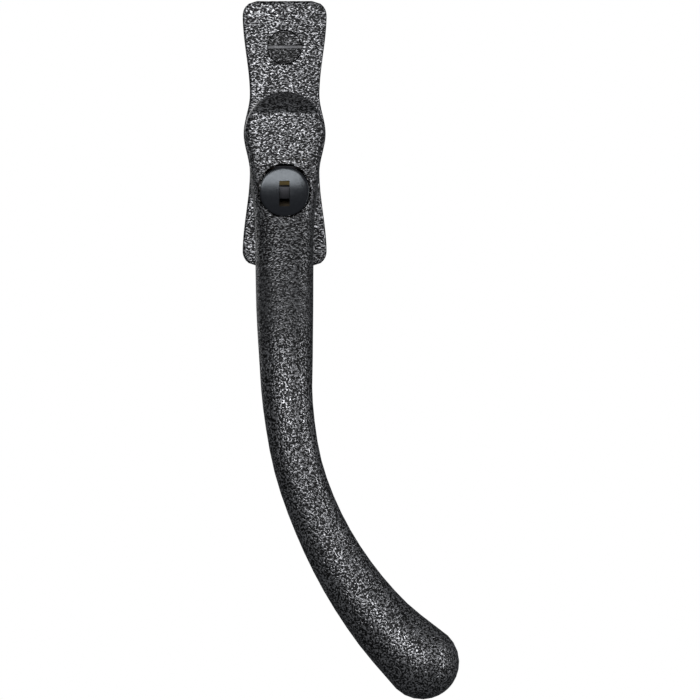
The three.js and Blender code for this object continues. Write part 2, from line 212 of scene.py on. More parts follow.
def join(tree, source, target):
    tree.links.new(source, target)


def feed(tree, socket, value):
    if isinstance(value, (int, float)):
        socket.default_value = value
    else:
        tree.links.new(value, socket)


def mathNode(tree, operation, *values):
    node = addNode(tree, "ShaderNodeMath", {"operation": operation})
    for socket, value in zip(node.inputs, values):
        feed(tree, socket, value)
    return node.outputs[0]


def mapRange(tree, value, low, high, toLow=0.0, toHigh=1.0, kind="SMOOTHSTEP"):
    node = addNode(tree, "ShaderNodeMapRange", {"interpolation_type": kind})
    tree.links.new(value, node.inputs["Value"])
    limits = {"From Min": low, "From Max": high, "To Min": toLow, "To Max": toHigh}
    for name, number in limits.items():
        feed(tree, node.inputs[name], number)
    return node.outputs["Result"]


def noise(tree, place, scale, detail=1.0, roughness=0.5):
    node = addNode(tree, "ShaderNodeTexNoise", Detail=detail, Roughness=roughness)
    join(tree, place, node.inputs["Vector"])
    feed(tree, node.inputs["Scale"], scale)
    return node


def mixColours(tree, share, first, second):
    node = addNode(tree, "ShaderNodeMix", {"data_type": "RGBA"})
    join(tree, share, node.inputs["Factor"])
    for name, value in (("A", first), ("B", second)):
        if isinstance(value, tuple):
            node.inputs[name].default_value = value
        else:
            join(tree, value, node.inputs[name])
    return node.outputs["Result"]


grain = {
    "bendScale": 0.7,
    "cellSoftness": 0.25,
    "blobEdge": (0.12, 0.62),
    "blobShare": 0.25,
    "wormScale": 1.9,
    "wormDetail": 0.2,
    "wormEdge": (0.3, 0.68),
    "wormShare": 0.8,
    "speckScale": 4.0,
    "speckDetail": 3.0,
    "speckShare": 0.1,
    "shineEdge": (0.36, 0.9),
    "roughEdge": (0.2, 0.9),
    "rough": (0.5, 0.3),
}


# Hammered powder coat: short slanting ridges that shine, with black valleys between them; the valleys' black is
# partly the coat's own tone and partly painted shade
def makeHammeredGroup():
    group, given, result = newGroup(
        "hammeredCoat",
        [
            ("Blob Size", "NodeSocketFloat", 0.0008),
            ("Valley Colour", "NodeSocketColor", (0.004, 0.004, 0.005, 1)),
            ("Crest Colour", "NodeSocketColor", (0.3, 0.305, 0.32, 1)),
        ],
    )
    scale = mathNode(group, "DIVIDE", 1.0, given.outputs["Blob Size"])
    bendScale = mathNode(group, "MULTIPLY", scale, grain["bendScale"])
    bend = noise(group, given.outputs["Vector"], bendScale)
    centred = addNode(group, "ShaderNodeVectorMath", {"operation": "SUBTRACT"}, _1=(0.5, 0.5, 0.5))
    join(group, bend.outputs["Color"], centred.inputs[0])
    pushed = addNode(group, "ShaderNodeVectorMath", {"operation": "SCALE"})
    join(group, centred.outputs[0], pushed.inputs[0])
    join(group, given.outputs["Blob Size"], pushed.inputs["Scale"])
    warped = addNode(group, "ShaderNodeVectorMath", {"operation": "ADD"})
    join(group, given.outputs["Vector"], warped.inputs[0])
    join(group, pushed.outputs[0], warped.inputs[1])

    cells = addNode(group, "ShaderNodeTexVoronoi", {"feature": "SMOOTH_F1"})
    cells.inputs["Smoothness"].default_value = grain["cellSoftness"]
    join(group, warped.outputs[0], cells.inputs["Vector"])
    join(group, scale, cells.inputs["Scale"])
    blobs = mapRange(group, cells.outputs["Distance"], *grain["blobEdge"], 1.0, 0.0, "LINEAR")
    wormScale = mathNode(group, "MULTIPLY", scale, grain["wormScale"])
    worms = noise(group, warped.outputs[0], wormScale, grain["wormDetail"])
    ridges = mapRange(group, worms.outputs["Fac"], *grain["wormEdge"], kind="LINEAR")
    blobPart = mathNode(group, "MULTIPLY", blobs, grain["blobShare"])
    lumps = mathNode(group, "MULTIPLY_ADD", ridges, grain["wormShare"], blobPart)
    speckScale = mathNode(group, "MULTIPLY", scale, grain["speckScale"])
    specks = noise(group, given.outputs["Vector"], speckScale, grain["speckDetail"], 0.6)
    height = mathNode(group, "MULTIPLY_ADD", specks.outputs["Fac"], grain["speckShare"], lumps)

    # the colour runs from valley to crest with the height: partly the coat's two tones, partly painted shade in
    # the hollows
    shine = mapRange(group, lumps, *grain["shineEdge"], kind="LINEAR")
    tone = mixColours(group, shine, given.outputs["Valley Colour"], given.outputs["Crest Colour"])
    rough = mapRange(group, lumps, *grain["roughEdge"], *grain["rough"])
    join(group, tone, result.inputs["Colour"])
    join(group, rough, result.inputs["Roughness"])
    join(group, height, result.inputs["Height"])
    return group


handling = {
    "lineDetail": 3.0,
    "lineRoughness": 0.65,
    "lineEdge": (0.25, 0.75),
    "lineSpread": (-0.08, 0.12),
    "stainScale": 260.0,
    "stainDetail": 4.0,
    "stainRoughness": 0.6,
    "stainEdge": (0.3, 0.7),
    "stainShade": (0.68, 1.08),
}


# Fine lines and stains left by a tool and by handling
def makeMachinedGroup():
    group, given, result = newGroup(
        "machinedMetal",
        [
            ("Line Width", "NodeSocketFloat", 0.00015),
            ("Gloss", "NodeSocketFloat", 0.3),
            ("Colour", "NodeSocketColor", (0.5, 0.5, 0.5, 1)),
        ],
    )
    scale = mathNode(group, "DIVIDE", 1.0, given.outputs["Line Width"])
    place = given.outputs["Vector"]
    lines = noise(group, place, scale, handling["lineDetail"], handling["lineRoughness"])
    stainDetail, stainRoughness = handling["stainDetail"], handling["stainRoughness"]
    stains = noise(group, place, handling["stainScale"], stainDetail, stainRoughness)
    shade = mapRange(group, stains.outputs["Fac"], *handling["stainEdge"], *handling["stainShade"])
    multiply = {"data_type": "RGBA", "blend_type": "MULTIPLY"}
    tone = addNode(group, "ShaderNodeMix", multiply, Factor=1.0)
    join(group, given.outputs["Colour"], tone.inputs["A"])
    join(group, shade, tone.inputs["B"])
    join(group, tone.outputs["Result"], result.inputs["Colour"])
    lineEdge, lineSpread = handling["lineEdge"], handling["lineSpread"]
    spread = mapRange(group, lines.outputs["Fac"], *lineEdge, *lineSpread, "LINEAR")
    rough = mathNode(group, "ADD", given.outputs["Gloss"], spread)
    join(group, rough, result.inputs["Roughness"])
    join(group, lines.outputs["Fac"], result.inputs["Height"])
    return group


hammeredCoat = makeHammeredGroup()
machinedMetal = makeMachinedGroup()


def newMaterial(name):
    material = bpy.data.materials.new(name)
    material.use_nodes = True
    tree = material.node_tree
    place = tree.nodes.new("ShaderNodeTexCoord")
    return material, tree, tree.nodes["Principled BSDF"], place.outputs["Object"]


def placeGroup(tree, group, place, **values):
    node = tree.nodes.new("ShaderNodeGroup")
    node.node_tree = group
    join(tree, place, node.inputs["Vector"])
    for name, value in values.items():
        node.inputs[name.replace("_", " ")].default_value = value
    return node


def addBump(tree, shader, height, distance):
    bump = addNode(tree, "ShaderNodeBump", Strength=1.0, Distance=distance)
    join(tree, height, bump.inputs["Height"])
    join(tree, bump.outputs["Normal"], shader.inputs["Normal"])


coatLook = {
    "blobOnFlats": 0.00085,
    "blobOnGrip": 0.00084,
    "slant": -28,
    "stretch": (0.78, 1.0, 1.3),
    "gripStarts": -0.03,
    "gripFull": -0.055,
    "crest": 0.30,
    "valley": 0.004,
    "relief": 0.0001,
    "metallic": 0.7,
    "specular": 0.6,
    "valleyTint": (1, 1, 1.15),
    "crestTint": (1, 1.01, 1.06),
    # painted shade on the lever's neck: how dark it goes, and where it starts, ends and fades
    "neckPaintedShade": 0.72,
    "paintedShadeStarts": (-0.0165, -0.024),
    "paintedShadeEnds": (-0.052, -0.07),
    "paintedShadeFades": 0.7,
}


def tinted(level, tint):
    return (*(level * share for share in tint), 1)


def makeCoat(name, shade=1.0, grip=False):
    material, tree, shader, place = newMaterial(name)
    colours = {
        "Valley_Colour": tinted(coatLook["valley"] * shade, coatLook["valleyTint"]),
        "Crest_Colour": tinted(coatLook["crest"] * shade, coatLook["crestTint"]),
    }
    slant = (0, math.radians(coatLook["slant"]), 0)
    turned = addNode(tree, "ShaderNodeMapping", Rotation=slant, Scale=coatLook["stretch"])
    join(tree, place, turned.inputs["Vector"])
    slanted = turned.outputs["Vector"]
    blob = coatLook["blobOnFlats"]
    flats = placeGroup(tree, hammeredCoat, slanted, Blob_Size=blob, **colours)
    colour, roughness, height = flats.outputs[:3]
    if grip:
        # the curved grip's grain is round, where the flats' is slanted
        blob = coatLook["blobOnGrip"]
        fine = placeGroup(tree, hammeredCoat, place, Blob_Size=blob, **colours)
        split = tree.nodes.new("ShaderNodeSeparateXYZ")
        join(tree, place, split.inputs[0])
        down = mapRange(tree, split.outputs["Z"], coatLook["gripStarts"], coatLook["gripFull"])
        colour = mixColours(tree, down, colour, fine.outputs["Colour"])
        blended = []
        for label in ("Roughness", "Height"):
            mixed = addNode(tree, "ShaderNodeMix", {"data_type": "FLOAT"})
            join(tree, down, mixed.inputs["Factor"])
            join(tree, flats.outputs[label], mixed.inputs["A"])
            join(tree, fine.outputs[label], mixed.inputs["B"])
            blended.append(mixed.outputs["Result"])
        roughness, height = blended
        # painted shade: the neck's coat is darkened below the hub, most of it fading back down the grip, to stand
        # in for the shade on the leaning neck
        dull = addNode(tree, "ShaderNodeVectorMath", {"operation": "SCALE"})
        dull.inputs["Scale"].default_value = coatLook["neckPaintedShade"]
        join(tree, colour, dull.inputs[0])
        up, fades = split.outputs["Z"], coatLook["paintedShadeFades"]
        paintedShadeStarts = mapRange(tree, up, *coatLook["paintedShadeStarts"])
        paintedShadeEnds = mapRange(tree, up, *coatLook["paintedShadeEnds"], 0, fades)
        darkened = mixColours(tree, paintedShadeStarts, colour, dull.outputs[0])
        colour = mixColours(tree, paintedShadeEnds, darkened, colour)
    join(tree, colour, shader.inputs["Base Color"])
    join(tree, roughness, shader.inputs["Roughness"])
    shader.inputs["Metallic"].default_value = coatLook["metallic"]
    shader.inputs["Specular IOR Level"].default_value = coatLook["specular"]
    addBump(tree, shader, height, coatLook["relief"])
    return material


def makeMetal(name, colour, gloss, line=0.00015, stretch=(1, 1, 1), metallic=1.0, relief=0.00001):
    material, tree, shader, place = newMaterial(name)
    stretched = addNode(tree, "ShaderNodeMapping", Scale=stretch)
    join(tree, place, stretched.inputs["Vector"])
    values = {"Line_Width": line, "Gloss": gloss, "Colour": (*colour, 1)}
    lines = placeGroup(tree, machinedMetal, stretched.outputs["Vector"], **values)
    join(tree, lines.outputs["Colour"], shader.inputs["Base Color"])
    join(tree, lines.outputs["Roughness"], shader.inputs["Roughness"])
    shader.inputs["Metallic"].default_value = metallic
    addBump(tree, shader, lines.outputs["Height"], relief)
    return material


capLook = {
    "ringScale": 4500.0,
    "dark": (0.008, 0.009, 0.011, 1),
    "light": (0.016, 0.017, 0.02, 1),
    "dustScale": 900.0,
    "dustEdge": (0.3, 0.75),
    "rough": (0.16, 0.21),
    "specular": 0.3,
    "tint": (0.86, 0.93, 1, 1),
    "relief": 0.000002,
}


# Black cap, polished on a lathe: rings round the lock's axis and a little dust
def makeCapBlack():
    material, tree, shader, place = newMaterial("capBlack")
    centred = addNode(tree, "ShaderNodeMapping", Location=(0, 0, -lockZ * mm))
    join(tree, place, centred.inputs["Vector"])
    flat = addNode(tree, "ShaderNodeVectorMath", {"operation": "MULTIPLY"}, _1=(1, 0, 1))
    join(tree, centred.outputs["Vector"], flat.inputs[0])
    radius = addNode(tree, "ShaderNodeVectorMath", {"operation": "LENGTH"})
    join(tree, flat.outputs[0], radius.inputs[0])
    alongLine = {"noise_dimensions": "1D"}
    rings = addNode(tree, "ShaderNodeTexNoise", alongLine, Detail=2.0, Roughness=0.6)
    rings.inputs["Scale"].default_value = capLook["ringScale"]
    join(tree, radius.outputs["Value"], rings.inputs["W"])
    dust = noise(tree, place, capLook["dustScale"], 4.0, 0.6)
    tone = mixColours(tree, rings.outputs["Fac"], capLook["dark"], capLook["light"])
    rough = mapRange(tree, dust.outputs["Fac"], *capLook["dustEdge"], *capLook["rough"])
    join(tree, tone, shader.inputs["Base Color"])
    join(tree, rough, shader.inputs["Roughness"])
    shader.inputs["Specular IOR Level"].default_value = capLook["specular"]
    shader.inputs["Specular Tint"].default_value = capLook["tint"]
    addBump(tree, shader, rings.outputs["Fac"], capLook["relief"])
    return material


brassLook = {
    "line": 0.0002,
    "gloss": 0.5,
    "colour": (0.05, 0.034, 0.008, 1),
    "keywayShade": (0.012, 0.008, 0.003, 1),
    "keywayShadeDeepens": (-0.0259, -0.0235),
    "metallic": 0.8,
    "relief": 0.00001,
}


# Old brass, dull, with painted shade that deepens down the keyway
def makeAgedBrass():
    material, tree, shader, place = newMaterial("agedBrass")
    look = brassLook
    values = {"Line_Width": look["line"], "Gloss": look["gloss"], "Colour": look["colour"]}
    lines = placeGroup(tree, machinedMetal, place, **values)
    split = tree.nodes.new("ShaderNodeSeparateXYZ")
    join(tree, place, split.inputs[0])
    # painted shade: the colour darkens deeper into the keyway
    depth = mapRange(tree, split.outputs["Y"], *look["keywayShadeDeepens"])
    tone = mixColours(tree, depth, lines.outputs["Colour"], look["keywayShade"])
    join(tree, tone, shader.inputs["Base Color"])
    join(tree, lines.outputs["Roughness"], shader.inputs["Roughness"])
    shader.inputs["Metallic"].default_value = look["metallic"]
    addBump(tree, shader, lines.outputs["Height"], look["relief"])
    return material


coatPlate = makeCoat("hammeredPlate")
coatLever = makeCoat("hammeredLever", grip=True)
coatScrew = makeCoat("hammeredScrew", 0.36)
capBlack = makeCapBlack()
# painted highlight: brighter plain metal for the screws' slot floors, standing in for the band of light along each
# slot
wornSlot = makeMetal("wornSlot", (0.09, 0.091, 0.095), 0.45, line=0.0005)
steel = makeMetal("zincSteel", (0.52, 0.53, 0.55), 0.33, stretch=(1, 0.12, 1))
springSteel = makeMetal("springSteel", (0.2, 0.205, 0.21), 0.36)
shutterSteel = makeMetal("shutterSteel", (0.045, 0.045, 0.05), 0.42, stretch=(1, 1, 0.2))
# painted shade: near-black steel for the stop pin, seen deep in the gap round the cap
blackSteel = makeMetal("blackSteel", (0.02, 0.02, 0.022), 0.5)
brass = makeMetal("lockBrass", (0.5, 0.33, 0.11), 0.34, stretch=(1, 0.3, 1))
agedBrass = makeAgedBrass()
acetal = makeMetal("acetal", (0.66, 0.65, 0.6), 0.5, metallic=0.0, relief=0.000004)
print("materials made")

bodyOf = {}
for body, nodes in frame["record"]["behaviour"]["bodies"].items():
    bodyOf.update(dict.fromkeys(nodes, body))


def wear(piece, *materials):
    piece.data.materials.clear()
    for material in materials:
        piece.data.materials.append(material)


def finishPiece(piece, node, material, degrees=35):
    wear(piece, material)
    smooth(piece, degrees)
    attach(piece, bodyOf[node])
    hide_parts(node)


plate = {
    "halfLength": 33.1,
    "halfWidth": 10.5,
    "waist": 8.7,
    "waistAt": 9.7,
    "bulge": 10.25,
    "front": 9.0,
    "corner": 3.6,
    "wall": 1.7,
    "skin": 2.5,
    "edge": 0.7,
    "rows": 96,
    "taper": 20,
    "screwAt": 21.5,
    "postRadius": 5.6,
    "postFront": 7,
    "clearance": 2.6,
    "recess": 4.4,
    "recessFloor": 6.2,
    "bushRadius": 8.2,
    "boltHole": 2.4,
    "boreBack": 5,
}


def ease(value):
    value = min(max(value, 0.0), 1.0)
    return value * value * (3 - 2 * value)


def plateHalfWidth(z):
    away, waist = abs(z), plate["waist"]
    if away < plate["waistAt"]:
        return plate["bulge"] + (waist - plate["bulge"]) * ease(away / plate["waistAt"])
    return waist + (plate["halfWidth"] - waist) * ease((away - plate["waistAt"]) / plate["taper"])


def buildBackplate():
    deselectAll()
    bpy.ops.mesh.primitive_grid_add(
        x_subdivisions=1, y_subdivisions=plate["rows"], size=1, rotation=(math.pi / 2, 0, 0)
    )
    bpy.context.object.scale = (2 * mm, 2 * plate["halfLength"] * mm, 1)
    piece = settle("waistedBackplate")
    end, corner = plate["halfLength"] * mm, plate["corner"] * mm
    for vert in piece.data.vertices:
        # the rows near each end are drawn in to a quarter circle
        inside = min(max(abs(vert.co.z) - (end - corner), 0), corner)
        drawn = corner - math.sqrt(corner * corner - inside * inside)
        vert.co.x = math.copysign(plateHalfWidth(vert.co.z / mm) * mm - drawn, vert.co.x)
    editSelect(piece, "faces", lambda face: True)
    forward = (0, -plate["front"] * mm, 0)
    bpy.ops.mesh.extrude_region_move(TRANSFORM_OT_translate={"value": forward})
    endEdit()
    tidyNormals(piece)
    bevelEdges(piece, rim(plate["front"]), plate["edge"], 4)
    return hollowPlate(piece)


def hollowPlate(piece):
    editSelect(piece, "faces", lambda face: abs(face.calc_center_median().y) < hair)
    bpy.ops.mesh.inset(thickness=plate["wall"] * mm, depth=0, use_boundary=True)
    depth = (plate["front"] - plate["skin"]) * mm
    bpy.ops.mesh.extrude_region_move(TRANSFORM_OT_translate={"value": (0, -depth, 0)})
    endEdit()
    tidyNormals(piece)
    screwHeights = (plate["screwAt"], -plate["screwAt"])
    for z in screwHeights:
        post = addBar("post", plate["postRadius"], hair / mm, plate["postFront"], z=z)
        combine(piece, post, "UNION")
    for z in screwHeights:
        combine(piece, addBar("clearance", plate["clearance"], -1, clearOut, z=z))
        combine(piece, addBar("recess", plate["recess"], plate["recessFloor"], clearOut, z=z))
    combine(piece, addBar("bushSeat", plate["bushRadius"], plate["boreBack"], clearOut))
    boltHole = addBar("boltHole", plate["boltHole"], plate["boreBack"], clearOut, z=lockZ, sides=32)
    return combine(piece, boltHole)


finishPiece(buildBackplate(), "backplate", coatPlate, 30)
print("backplate made")

screw = {
    "headRadius": 4.3,
    "headBack": 6.3,
    "headFront": 8.6,
    "edge": 0.3,
    "slotLong": 10,
    "slotWide": 1.1,
    "slotDeep": 0.6,
    "grooveWide": 0.3,
    "grooveDeep": 1.6,
    "shank": 2.4,
    "root": 1.95,
    "tip": -36.3,
    "tipEdge": 0.6,
    "collarFront": 6.5,
    "threadEnds": 1.5,
    "pitch": 1.0,
    "toothHalf": 0.46,
    "toothSunk": 0.15,
    "turnSides": 16,
}


def addThread(z):
    # one tooth, carried round and along the shank
    deselectAll()
    bpy.ops.mesh.primitive_circle_add(vertices=3, radius=0.001)
    tooth = bpy.context.object
    crest, root = screw["shank"] * mm, (screw["root"] - screw["toothSunk"]) * mm
    half = screw["pitch"] * screw["toothHalf"] * mm
    corners = ((root, 0, -half), (crest, 0, 0), (root, 0, half))
    for vert, corner in zip(tooth.data.vertices, corners):
        vert.co = corner
    turn = tooth.modifiers.new("turn", "SCREW")
    turn.axis = "Z"
    turn.screw_offset = screw["pitch"] * mm
    turn.iterations = int((screw["threadEnds"] - screw["tip"]) / screw["pitch"]) - 1
    turn.steps = turn.render_steps = screw["turnSides"]
    bpy.ops.object.modifier_apply(modifier=turn.name)
    editSelect(tooth, "edges", lambda edge: len(edge.link_faces) == 1)
    bpy.ops.mesh.edge_face_add()
    endEdit()
    tooth.rotation_euler = (math.pi / 2, 0, 0)
    tooth.location = (0, -(screw["tip"] + screw["pitch"]) * mm, z * mm)
    pick(tooth)
    return tidyNormals(settle("thread"))


def buildScrew(name, z):
    tip, back, front = screw["tip"], screw["headBack"], screw["headFront"]
    head = addBar(name, screw["headRadius"], back, front, z=z)
    bevelEdges(head, rim(front), screw["edge"], 4)
    shank = addBar("shank", screw["root"], tip, back + 0.5, z=z, sides=32)
    bevelEdges(shank, rim(tip), screw["tipEdge"], 2)
    near, far = screw["threadEnds"], screw["collarFront"]
    combine(shank, addBar("collar", screw["shank"], near, far, z=z, sides=32), "UNION")
    combine(head, shank, "UNION")
    length, wide, groove = screw["slotLong"], screw["slotWide"], screw["grooveWide"]
    slotFloor, grooveFloor = front - screw["slotDeep"], front - screw["grooveDeep"]
    combine(head, addBox("slot", length, wide, slotFloor, clearOut, z=z))
    # the slot is deeper along its lower side, where it stays in shadow
    grooveZ = z - (wide - groove) / 2
    combine(head, addBox("groove", length, groove, grooveFloor, clearOut, z=grooveZ))
    thread = addThread(z)
    for part in (head, thread):
        wear(part, coatScrew, steel, wornSlot)
    pick(head)
    thread.select_set(True)
    bpy.ops.object.join()
    for face in head.data.polygons:
        face.material_index = 1 if face.center.y > -(back - 0.1) * mm else 0
        # painted highlight: the slot floor gets the brighter metal
        if abs(face.center.y + slotFloor * mm) < hair:
            face.material_index = 2
    return head


screwsAt = {"top_fixing_screw": plate["screwAt"], "bottom_fixing_screw": -plate["screwAt"]}
for node, z in screwsAt.items():
    screwPiece = buildScrew("slottedScrew_" + node.split("_")[0], z)
    smooth(screwPiece, 30)
    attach(screwPiece, bodyOf[node])
    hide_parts(node)
print("screws made")

lever = {
    "hubRadius": 10.0,
    "hubTop": 10.45,
    "hubBack": 9.55,
    "hubFront": 21.0,
    "hubSquare": 8.5,
    "hubFlare": 8.76,
    "flareFrom": -2.4,
    "flareOver": 3.6,
    "crest": 4.9,
    "shoulder": ((21.0, 4.9), (20.3, 6.4), (17.0, 9.3), (11.0, 10.85)),
    "gripOut": 36.6,
    "endAngle": 47,
    "pearAt": (34.3, -131.9),
    "pearWide": 9.25,
    "pearDeep": 8.2,
    "sides": 64,
    "spigotRadius": 6.9,
    "spigotBack": 6.3,
    "spigotSquare": 9.6,
    "spigotEnd": 1.4,
    "squareFront": 7,
    "squareEdge": 0.3,
    "socket": 7.1,
    "socketFloor": 16.3,
    "pinHole": (1.6, -12, 5.4, 13),
    "boreRadius": 6.55,
    "boreFloor": 11.35,
    "housing": 7.9,
    "housingFront": 18.5,
    "mouthRelief": 0.2,
    "mouthRise": 0.25,
    "mouthFloor": 15.0,
    "boltHole": (2.3, 5, 15),
    "latchNotch": (3, 2.4, 13.8, 19.5),
    "notchRise": 0.3,
    "stopPinHole": (0.9, -12, 5, 18.6),
    "stopPinRise": 6.05,
    "clipGroove": (2.2, 3),
    "clipSeat": 5.6,
}

# where each section's centre is (across, up, out), its half-width, half-depth and squareness
gripSections = (
    ((0, -7.8, 15.28), 8.7, 5.73, 8.0),
    ((0, -9.6, 15.6), 8.62, 5.82, 6.5),
    ((0, -12.0, 16.35), 8.45, 5.92, 5.2),
    ((0, -14.6, 17.4), 8.15, 5.95, 4.3),
    ((0, -18.0, 18.7), 7.75, 5.95, 3.6),
    ((0, -22.0, 20.3), 7.4, 5.9, 3.0),
    ((0, -32.0, 24.3), 7.25, 5.8, 2.5),
    ((0.1, -44.0, 29.2), 7.1, 5.6, 2.2),
    ((0.4, -56.0, 33.6), 6.7, 5.4, 2.1),
    ((0.9, -68.0, 36.2), 6.25, 5.3, 2.0),
    ((3.4, -83.1, 36.6), 6.05, 5.3, 2.0),
    ((8.55, -97.3, 36.6), 6.25, 5.4, 2.0),
    ((15.7, -110.5, 36.6), 6.95, 6.0, 2.0),
    ((24.6, -122.4, 36.6), 7.95, 6.9, 2.0),
    ((34.3, -131.9, 36.6), 9.25, 8.2, 2.0),
)


def catmull(points, position):
    # the value part of the way along a list, on a smooth curve through all of it
    last = len(points) - 1
    index = min(int(position), last - 1)
    share = position - index
    nearby = [points[min(max(index + step, 0), last)] for step in (-1, 0, 1, 2)]
    blend = []
    for p0, p1, p2, p3 in zip(*nearby):
        squared = (2 * p0 - 5 * p1 + 4 * p2 - p3) * share**2
        cubed = (3 * p1 - p0 - 3 * p2 + p3) * share**3
        blend.append(0.5 * (2 * p1 + (p2 - p0) * share + (squared + cubed)))
    return blend


def hubFrontAt(z):
    # how far out the hub's front is at this height: flat, then over a rounded shoulder
    if z <= lever["crest"]:
        return lever["hubFront"]
    low, high = 0.0, 1.0
    for _ in range(24):
        share = (low + high) / 2
        rest = 1 - share
        weights = (rest**3, 3 * rest * rest * share, 3 * rest * share * share, share**3)
        weighted = list(zip(weights, lever["shoulder"]))
        out, up = (sum(weight * point[i] for weight, point in weighted) for i in (0, 1))
        low, high = (share, high) if up < z else (low, share)
    return out


def addSection(centre, side, front, wide, deep, square):
    bpy.ops.mesh.primitive_circle_add(vertices=lever["sides"], radius=1)
    ring = bpy.context.object
    for vert in ring.data.vertices:
        angle, power = math.atan2(vert.co.y, vert.co.x), 2 / square
        across = math.copysign(abs(math.cos(angle)) ** power, math.cos(angle)) * wide
        out = math.copysign(abs(math.sin(angle)) ** power, math.sin(angle)) * deep
        vert.co = (centre + side * across + front * out) * mm
    return ring


# the heights of the hub's sections, close together over its rounded top
hubHeights = (
    *(10.44, 10.36, 10.15, 9.8, 9.3, 8.7, 8.0, 7.2, 6.5, 5.9, 5.4, 5.05),
    *(4.85, 4.6, 4.0, 3.0, 1.6, 0, -1.6, -3.0, -4.2, -5.4, -6.6),
)


def hubSections():
    right, out = Vector((1, 0, 0)), Vector((0, -1, 0))
    back = lever["hubBack"]
    for z in hubHeights:
        reach = lever["hubTop"] if z > 0 else lever["hubRadius"]
        wide = lever["hubRadius"] * math.sqrt(1 - (z / reach) ** 2)
        flared = ease((lever["flareFrom"] - z) / lever["flareOver"])
        wide += (lever["hubFlare"] - wide) * flared
        front = hubFrontAt(z)
        centre = Vector((0, -(front + back) / 2, z))
        yield addSection(centre, right, out, wide, (front - back) / 2, lever["hubSquare"])


def neckSections():
    out = Vector((0, -1, 0))
    rows = [(*centre, wide, deep, square) for centre, wide, deep, square in gripSections]
    steps, last, nudge = 3, len(rows) - 1, 0.01
    for step in range(last * steps + 1):
        place = step / steps
        x, z, away, wide, deep, square = catmull(rows, place)
        ahead = catmull(rows, min(place + nudge, last - nudge * nudge))[:3]
        behind = catmull(rows, max(place - nudge, 0))[:3]
        right, up, outward = (end - start for end, start in zip(ahead, behind))
        along = Vector((right, -outward, up)).normalized()
        side = along.cross(out).normalized()
        side = side if side.x > 0 else -side
        front = side.cross(along)
        front = front if front.y < 0 else -front
        yield addSection(Vector((x, -away, z)), side, front, wide, deep, max(square, 2.0))


def pearSections():
    angle = math.radians(lever["endAngle"])
    heading = Vector((math.sin(angle), 0, -math.cos(angle)))
    side, out = Vector((math.cos(angle), 0, math.sin(angle))), Vector((0, -1, 0))
    middle = Vector((lever["pearAt"][0], -lever["gripOut"], lever["pearAt"][1]))
    wide, deep = lever["pearWide"], lever["pearDeep"]
    for degrees in (15, 30, 45, 58, 70, 80, 86.5):
        turn = math.radians(degrees)
        centre = middle + heading * (wide * math.sin(turn))
        shrink = math.cos(turn)
        yield addSection(centre, side, out, wide * shrink, deep * shrink, 2.0)


def buildLever():
    deselectAll()
    rings = [*hubSections(), *neckSections(), *pearSections()]
    deselectAll()
    for ring in rings:
        ring.select_set(True)
    piece = rings[0]
    bpy.context.view_layer.objects.active = piece
    bpy.ops.object.join()
    piece.name = "leverCasting"
    editSelect(piece, "edges", lambda edge: True)
    bpy.ops.mesh.bridge_edge_loops(type="SINGLE", use_merge=False)
    endEdit()
    for first in (0, len(rings) - 1):
        corners = range(first * lever["sides"], (first + 1) * lever["sides"])
        editSelect(piece, "verts", lambda vert: vert.index in corners)
        bpy.ops.mesh.edge_face_add()
        endEdit()
    tidyNormals(piece)
    return machineLever(piece)


def machineLever(piece):
    # what stands on the casting's back, then every hole that is bored in it
    back, square, end = lever["hubBack"], lever["spigotSquare"], lever["spigotEnd"]
    housing = addBar("housing", lever["housing"], back, lever["housingFront"], z=lockZ)
    combine(piece, housing, "UNION")
    spigot = addBar("spigot", lever["spigotRadius"], lever["spigotBack"], back + 1)
    combine(piece, spigot, "UNION")
    squareEnd = addBox("spigotSquare", square, square, end, lever["squareFront"])
    bevelEdges(squareEnd, lambda edge: level(edge, end), lever["squareEdge"], 2)
    combine(piece, squareEnd, "UNION")
    combine(piece, addBox("socket", lever["socket"], lever["socket"], 0, lever["socketFloor"]))
    combine(piece, addCrossBar("pinHole", *lever["pinHole"], 0))
    bore, floor = lever["boreRadius"], lever["boreFloor"]
    combine(piece, addBar("lockBore", bore, floor, clearOut, z=lockZ, sides=96))
    # the bore's mouth is relieved, a little more above than below
    mouth, floor = bore + lever["mouthRelief"], lever["mouthFloor"]
    mouthZ = lockZ + lever["mouthRise"]
    combine(piece, addBar("mouth", mouth, floor, clearOut, z=mouthZ, sides=96))
    combine(piece, addBar("boltHole", *lever["boltHole"], z=lockZ, sides=32))
    notchZ = lockZ - bore + lever["notchRise"]
    combine(piece, addBox("latchNotch", *lever["latchNotch"], z=notchZ))
    stopPinZ = lockZ + lever["stopPinRise"]
    combine(piece, addCrossBar("stopPinHole", *lever["stopPinHole"], stopPinZ))
    near, far = lever["clipGroove"]
    clipGroove = addBar("clipGroove", lever["hubRadius"] - 1, near, far)
    combine(clipGroove, addBar("core", lever["clipSeat"], near - 1, far + 1))
    return combine(piece, clipGroove)


finishPiece(buildLever(), "lever", coatLever, 38)
print("lever made")

spindle = {
    "square": 6.9,
    "back": -30.0,
    "front": 16.0,
    "edge": 0.35,
    "pinHole": (1.65, -6, 6, 13.0),
}


def buildSpindle():
    square = spindle["square"]
    piece = addBox("squareSpindle", square, square, spindle["back"], spindle["front"])
    bevelEdges(piece, sharp, spindle["edge"], 2)
    return combine(piece, addCrossBar("pinHole", *spindle["pinHole"], 0))


finishPiece(buildSpindle(), "spindle", steel)

